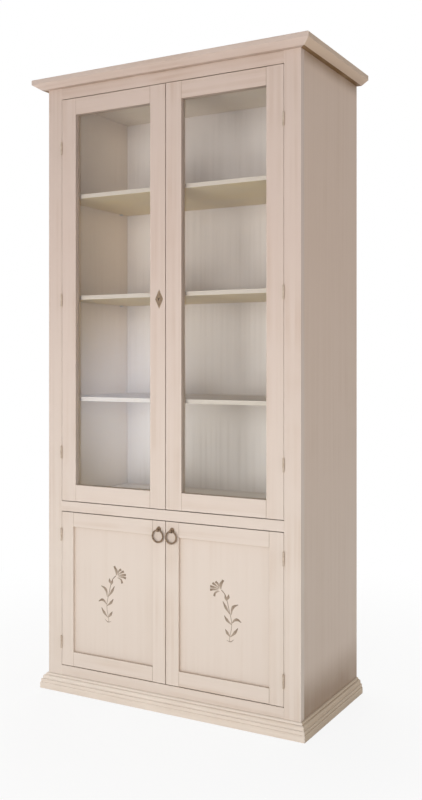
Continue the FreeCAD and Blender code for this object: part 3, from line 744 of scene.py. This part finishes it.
class BOOKCASE_OT_make_escutcheon(bpy.types.Operator):
    """Makes the faceted diamond plate round the keyhole"""

    bl_idname = "bookcase.make_escutcheon"
    bl_label = "Make escutcheon"

    def execute(self, context):
        sizes = context.scene.bookcase_pulls
        low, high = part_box("escutcheon")
        middle = (low + high) / 2
        half = (high - low) / 2
        edge = sizes.plate_edge
        plate = add_primitive(
            bpy.ops.mesh.primitive_cylinder_add, vertices=4, radius=1, depth=edge,
            location=(middle.x, high.y - edge / 2, middle.z), rotation=(math.pi / 2, 0, 0),
            scale=(half.x, half.z, 1))
        with editing(plate) as mesh:
            choose_faces(plate, mesh, lambda place, normal: normal.y < -FACING)
            bpy.ops.mesh.inset(thickness=sizes.plate_bevel, depth=sizes.plate_bevel)
            bpy.ops.mesh.inset(thickness=sizes.plate_facet, depth=2 * half.y - edge - sizes.plate_bevel)
        hole = add_primitive(
            bpy.ops.mesh.primitive_cylinder_add, vertices=32, radius=sizes.keyhole, depth=4 * half.y,
            location=middle, rotation=(math.pi / 2, 0, 0))
        cut_away(plate, hole)
        slot = add_primitive(
            bpy.ops.mesh.primitive_cube_add, size=1,
            location=(middle.x, middle.y, middle.z - sizes.keyhole_slot / 2),
            scale=(sizes.keyhole_width, 4 * half.y, sizes.keyhole_slot))
        cut_away(plate, slot)
        hand_over(plate, "diamond_escutcheon", "upper_left_door", bronze_material(context),
                  ["escutcheon"])
        return {"FINISHED"}


class BOOKCASE_OT_paint_sprigs(bpy.types.Operator):
    """Paints a traditional flower sprig on each lower panel, stroke by stroke"""

    bl_idname = "bookcase.paint_sprigs"
    bl_label = "Paint sprigs"

    # The sprig in millimetres from its foot, towards the middle of the bookcase and up.
    # The stem's line, from the foot to the flower:
    stem = ((0, 0), (-2, 18), (-7, 40), (-8, 58), (-4, 80), (2, 102), (8, 126), (15, 144), (28, 158))
    # Leaves and petals: start, angle above the level in degrees, length, and how far the stroke curls on
    leaves = (
        ((-3, 15), 47, 28, 10), ((-4, 15), 135, 40, -10),
        ((-7, 54), 38, 36, 16), ((-8, 58), 142, 40, 60),
        ((-1, 86), 54, 44, 6), ((-6, 84), 106, 46, 44),
        ((7, 124), 62, 22, 10), ((9, 128), 118, 20, -20),
    )
    petals = (
        ((30, 159), 98, 32, 14), ((31, 160), 84, 28, 48), ((36, 161), 72, 26, -34), ((38, 163), 34, 26, -8),
        ((38, 160), 12, 31, -6), ((38, 156), 2, 31, -12), ((35, 153), -22, 28, -44),
    )
    foot = ((9, 3), (-3, 0), (-16, 8))
    # Widths at the start, the middle and the tip, as shares of the brush's width
    foot_taper = (0.5, 1.2, 0.3)
    leaf_taper = (0.25, 1.0, 0.2)
    petal_taper = (0.2, 0.7, 0.9)
    stem_start, stem_gain = 0.7, 0.3

    def stroke(self, line, width, taper):
        """One brush stroke through points of the sprig; taper is its width at each point."""
        clear_selection()
        bpy.ops.curve.primitive_bezier_curve_add(radius=1, location=(0, 0, 0))
        piece = bpy.context.object
        spline = piece.data.splines[0]
        spline.bezier_points.add(len(line) - len(spline.bezier_points))
        for point, (across, up), part in zip(spline.bezier_points, line, taper):
            point.co = (across * MM, 0, up * MM)
            point.handle_left_type = "AUTO"
            point.handle_right_type = "AUTO"
            point.radius = part
        piece.data.dimensions = "3D"
        piece.data.bevel_depth = width / 2
        piece.data.bevel_resolution = 3
        piece.data.use_fill_caps = True
        bpy.ops.object.convert(target="MESH")
        piece = bpy.context.object
        start = Vector((line[0][0] * MM, 0, line[0][1] * MM))
        reach = max((vertex.co - start).length for vertex in piece.data.vertices)
        load = piece.data.attributes.new("paint_load", "FLOAT", "POINT")
        for vertex, value in zip(piece.data.vertices, load.data):
            value.value = ((vertex.co - start).length / reach) ** 2
        return piece

    def curled(self, start, angle, size, curl):
        """Start, middle and tip of a stroke that leaves at an angle and curls on."""
        line = [start]
        for share, degrees in ((0.55, angle), (0.45, angle + curl)):
            across, up = line[-1]
            reach = size * share
            turn = math.radians(degrees)
            line.append((across + reach * math.cos(turn), up + reach * math.sin(turn)))
        return line

    def execute(self, context):
        sizes = context.scene.bookcase_sprig
        tones = context.scene.bookcase_colours
        count = len(self.stem)
        stem_taper = [self.stem_start + self.stem_gain * number / count for number in range(count)]
        strokes = [self.stroke(self.stem, sizes.stem_width, stem_taper)]
        strokes.append(self.stroke(self.foot, sizes.stem_width, self.foot_taper))
        for leaf in self.leaves:
            strokes.append(self.stroke(self.curled(*leaf), sizes.leaf_width, self.leaf_taper))
        for petal in self.petals:
            strokes.append(self.stroke(self.curled(*petal), sizes.petal_width, self.petal_taper))
        sprig = joined(strokes)
        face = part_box("lower_left_panel")[0].y
        sprig.scale = (1, 2 * sizes.paint_height / sizes.leaf_width, 1)
        sprig.location = (-sizes.foot_x, face, sizes.foot_z)
        sprig = settle()
        paint = material_of("decorating_oil_colour", decorating_paint, tones.sprig, tones.sprig_tip)
        for side, piece in {"left": sprig, "right": mirrored_copy(sprig)}.items():
            hand_over(piece, f"painted_sprig_{side}", f"lower_{side}_door", paint)
        return {"FINISHED"}


class BOOKCASE_OT_drive_screws(bpy.types.Operator):
    """Drives slotted screws into lock, bolt guides and catch plates, and pins round the back panel"""

    bl_idname = "bookcase.drive_screws"
    bl_label = "Drive screws"

    # Steps of a head's dome: how far in, as a share of its radius, and up, as a share of its rise
    dome_steps = ((0.3, 0.35), (0.3, 0.15))
    slot_depth = 0.75              # share of the rise
    slot_turn = 2.4                # radians from one slot to the next

    def head(self, radius, rise, sides):
        """One low dome that faces the back."""
        disc = add_primitive(
            bpy.ops.mesh.primitive_cylinder_add, vertices=sides, radius=radius, depth=rise / 2,
            location=(0, rise / 4, 0), rotation=(math.pi / 2, 0, 0))
        with editing(disc) as mesh:
            choose_faces(disc, mesh, lambda place, normal: normal.y > FACING)
            for inward, up in self.dome_steps:
                bpy.ops.mesh.inset(thickness=inward * radius, depth=up * rise)
        return disc

    def slotted(self, head, sizes):
        """The same head with a slot for the screwdriver."""
        slot = add_primitive(
            bpy.ops.mesh.primitive_cube_add, size=1, location=(0, sizes.screw_rise, 0),
            scale=(3 * sizes.screw_radius, 2 * self.slot_depth * sizes.screw_rise, sizes.slot_width))
        cut_away(head, slot)
        return head

    def driven(self, head, places):
        """Copies of one head as one piece, one at each place and each turned on a little further."""
        copies = []
        for number, place in enumerate(places):
            pick(head)
            bpy.ops.object.duplicate()
            bpy.context.object.location = place
            bpy.context.object.rotation_euler.y = self.slot_turn * number
            copies.append(settle())
        return joined(copies)

    def rows(self, low, high, spacing):
        """Evenly spaced numbers from low to high, no further apart than the spacing."""
        count = math.ceil((high - low) / spacing)
        return [low + (high - low) * number / count for number in range(count + 1)]

    def round_the_back(self, sizes):
        """Places of the pins, along all four edges of the back panel."""
        low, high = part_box("back_panel")
        left, right = low.x + sizes.pin_inset, high.x - sizes.pin_inset
        foot, head = low.z + sizes.pin_inset, high.z - sizes.pin_inset
        upright = [(x, high.y, z) for x in (left, right) for z in self.rows(foot, head, sizes.pin_spacing)]
        between = self.rows(left, right, sizes.pin_spacing)[1:-1]
        level = [(x, high.y, z) for z in (foot, head) for x in between]
        return upright + level

    def execute(self, context):
        sizes = context.scene.bookcase_screws
        zinc = zinc_material(context)
        screw = self.slotted(self.head(sizes.screw_radius, sizes.screw_rise, sides=24), sizes)
        pin = self.head(sizes.pin_radius, sizes.pin_rise, sides=12)
        low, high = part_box("lock_case")
        inset = sizes.lock_inset
        lock = [
            (x, high.y, z) for x in (low.x + inset, high.x - inset)
            for z in (low.z + inset, high.z - inset)
        ]
        low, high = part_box("bolt_guides")
        plate_back = low.y + sizes.guide_plate
        drop = sizes.guide_length - inset
        guides = [
            (x, plate_back, z) for x in (low.x + sizes.guide_inset, high.x - sizes.guide_inset)
            for z in (low.z + inset, low.z + drop, high.z - drop, high.z - inset)
        ]
        groups = {
            "lock_screws": ("upper_left_door", screw, lock),
            "bolt_guide_screws": ("upper_right_door", screw, guides),
            "back_panel_pins": ("carcass", pin, self.round_the_back(sizes)),
        }
        for side in ("left", "right"):
            low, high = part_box(f"lower_{side}_catch_plate")
            ends = (low.x + sizes.catch_inset, high.x - sizes.catch_inset)
            catch = [(x, high.y, (low.z + high.z) / 2) for x in ends]
            groups[f"lower_{side}_catch_screws"] = (f"lower_{side}_door", screw, catch)
        for name, (body, head, places) in groups.items():
            hand_over(self.driven(head, places), name, body, zinc)
        bpy.data.objects.remove(screw)
        bpy.data.objects.remove(pin)
        return {"FINISHED"}


class BOOKCASE_OT_set_stage(bpy.types.Operator):
    """Sets floor, soft lamps, a card for the panes, background and the camera of the photograph"""

    bl_idname = "bookcase.set_stage"
    bl_label = "Set stage"

    # For each lamp's power setting its place, the point it aims at, and its width and height, in metres
    lamps = {
        "key_power": ((1.7, -5.5, 1.45), (0, 0, 0.9), (2.0, 2.0)),
        "front_power": ((-0.15, -3.0, 0.72), (-0.15, 0, 0.3), (1.0, 1.0)),
        "side_power": ((4.5, -0.4, 1.1), (0.5, 0, 1.1), (2.0, 2.0)),
        "back_power": ((-2.0, 4.5, 1.4), (0, 0.25, 1.0), (2.5, 2.5)),
        "left_power": ((-4.5, 1.0, 1.1), (-0.5, 0, 1.1), (2.0, 2.0)),
        "top_power": ((-0.5, 1.0, 4.3), (0, 0.2, 2.1), (1.5, 1.5)),
    }
    # The card whose reflection is the pale veil in the left pane, in metres
    card_place = (-2.5, -3.6, 0.8)
    card_width = 1.5
    card_height = 1.9
    card_tint = "#E6EDFF"
    card_strength = 3.2
    # How far from the bookcase's middle the floor's lift towards white is least and full, and the least
    lift_near = 0.5
    lift_far = 2.2
    least_lift = 0.88

    def lay_floor(self, context):
        """Matt pale floor that keeps the shadow and is lifted towards white for the camera."""
        size = context.scene.bookcase_stage.floor_size
        below = 0.5 * MM
        floor = add_primitive(bpy.ops.mesh.primitive_plane_add, size=size, location=(0, 0, -below))
        floor.name = "studio_floor"
        material, tree = start_material("matt_studio_floor")
        ground = add_node(tree, "BsdfDiffuse", {"Color": opaque(context.scene.bookcase_colours.floor)})
        white = add_node(tree, "Emission", {"Strength": 1.0})
        place = add_node(tree, "TexCoord", {}).outputs["Object"]
        away = add_node(tree, "VectorMath", {0: place}, operation="LENGTH").outputs["Value"]
        faded = ramp(tree, away, self.lift_near, self.lift_far, self.least_lift, 1.0, "SMOOTHSTEP")
        lifted = maths(tree, "MULTIPLY", seen_directly(tree), faded)
        shader = add_node(tree, "MixShader", {0: lifted, 1: ground, 2: white})
        add_node(tree, "OutputMaterial", {"Surface": shader})
        coat(floor, material)

    def light_world(self, context):
        """Even light, and a white background for the camera, for gloss and through the glass."""
        world = bpy.data.worlds.new("white_studio")
        context.scene.world = world
        world.use_nodes = True
        tree = world.node_tree
        tree.nodes.clear()
        ambient = context.scene.bookcase_stage.ambient
        strength = ramp(tree, seen_directly(tree), 0.0, 1.0, ambient, 1.0)
        sky = add_node(tree, "Background", {"Color": (1, 1, 1, 1), "Strength": strength})
        add_node(tree, "OutputWorld", {"Surface": sky})

    def hang_lamp(self, name, place, aim, size, power):
        """Large soft lamp that neither the camera nor the panes show."""
        turn = (Vector(aim) - Vector(place)).to_track_quat("-Z", "Y").to_euler()
        clear_selection()
        bpy.ops.object.light_add(type="AREA", location=place, rotation=turn)
        lamp = bpy.context.object
        lamp.name = name
        lamp.data.shape = "RECTANGLE"
        lamp.data.size, lamp.data.size_y = size
        lamp.data.energy = power
        lamp.visible_camera = False
        lamp.visible_glossy = False
        lamp.visible_transmission = False

    def hang_card(self):
        """Glowing card in front, to the left, that shows only in reflections and fades to its edges."""
        clear_selection()
        bpy.ops.mesh.primitive_plane_add(size=1, location=self.card_place, rotation=(math.pi / 2, 0, 0))
        # The operator ignores a scale of its own, so the plane is stretched afterwards
        bpy.context.object.scale = (self.card_width, self.card_height, 1)
        card = settle()
        card.name = "mirrored_card"
        material, tree = start_material("glowing_card")
        place = add_node(tree, "TexCoord", {}).outputs["Object"]
        middle = add_node(tree, "VectorMath", {0: place, 1: self.card_place}, operation="SUBTRACT")
        half = (self.card_width / 2, 1, self.card_height / 2)
        spread = add_node(tree, "VectorMath", {0: middle, 1: half}, operation="DIVIDE")
        away = add_node(tree, "VectorMath", {0: spread}, operation="LENGTH").outputs["Value"]
        faded = ramp(tree, away, 0.2, 1.0, 1.0, 0.0, "SMOOTHSTEP")
        tint = opaque(linear(self.card_tint))
        glow = add_node(tree, "Emission", {"Color": tint, "Strength": self.card_strength})
        nothing = add_node(tree, "BsdfTransparent", {})
        shader = add_node(tree, "MixShader", {0: faded, 1: nothing, 2: glow})
        add_node(tree, "OutputMaterial", {"Surface": shader})
        coat(card, material)
        card.visible_camera = False
        card.visible_diffuse = False
        card.visible_shadow = False

    def place_camera(self, context):
        """Level camera that stands where the photograph was taken."""
        clear_selection()
        bpy.ops.object.camera_add(location=CAMERA_PLACE, rotation=(math.pi / 2, 0, CAMERA_TURN))
        camera = bpy.context.object
        camera.name = "photograph_camera"
        camera.data.lens = CAMERA_LENS
        camera.data.shift_y = -HORIZON_ABOVE_MIDDLE / PHOTO_LONG_SIDE
        context.scene.camera = camera

    def execute(self, context):
        settings = context.scene.bookcase_stage
        self.lay_floor(context)
        self.light_world(context)
        for setting, (place, aim, size) in self.lamps.items():
            name = setting.replace("power", "lamp")
            self.hang_lamp(name, place, aim, size, getattr(settings, setting))
        self.hang_card()
        self.place_camera(context)
        context.scene.view_settings.view_transform = "Standard"
        return {"FINISHED"}


STEPS = (
    BOOKCASE_OT_paint_woodwork,
    BOOKCASE_OT_glaze_doors,
    BOOKCASE_OT_finish_metalwork,
    BOOKCASE_OT_make_ring_pulls,
    BOOKCASE_OT_make_escutcheon,
    BOOKCASE_OT_paint_sprigs,
    BOOKCASE_OT_drive_screws,
    BOOKCASE_OT_set_stage,
)


class BOOKCASE_PT_steps(bpy.types.Panel):
    """The bookcase's steps, in order"""

    bl_label = "Bookcase"
    bl_space_type = "VIEW_3D"
    bl_region_type = "UI"
    bl_category = "Bookcase"

    def draw(self, context):
        for step in STEPS:
            self.layout.operator(step.bl_idname)


GROUPS = {
    "bookcase_colours": BookcaseColours,
    "bookcase_paint": BookcasePaint,
    "bookcase_pulls": BookcasePulls,
    "bookcase_sprig": BookcaseSprig,
    "bookcase_screws": BookcaseScrews,
    "bookcase_stage": BookcaseStage,
}


def register():
    """Adds the settings, the steps and the panel to Blender."""
    for cls in (*GROUPS.values(), *STEPS, BOOKCASE_PT_steps):
        bpy.utils.register_class(cls)
    for name, group in GROUPS.items():
        setattr(bpy.types.Scene, name, bpy.props.PointerProperty(type=group))


def unregister():
    """Takes them out again."""
    for name in GROUPS:
        delattr(bpy.types.Scene, name)
    for cls in (BOOKCASE_PT_steps, *reversed(STEPS), *GROUPS.values()):
        bpy.utils.unregister_class(cls)


def main():
    """Builds the dressed bookcase."""
    register()
    bpy.ops.bookcase.paint_woodwork()
    bpy.ops.bookcase.glaze_doors()
    bpy.ops.bookcase.finish_metalwork()
    bpy.ops.bookcase.make_ring_pulls()
    bpy.ops.bookcase.make_escutcheon()
    bpy.ops.bookcase.paint_sprigs()
    bpy.ops.bookcase.drive_screws()
    bpy.ops.bookcase.set_stage()


if __name__ == "__main__":
    main()
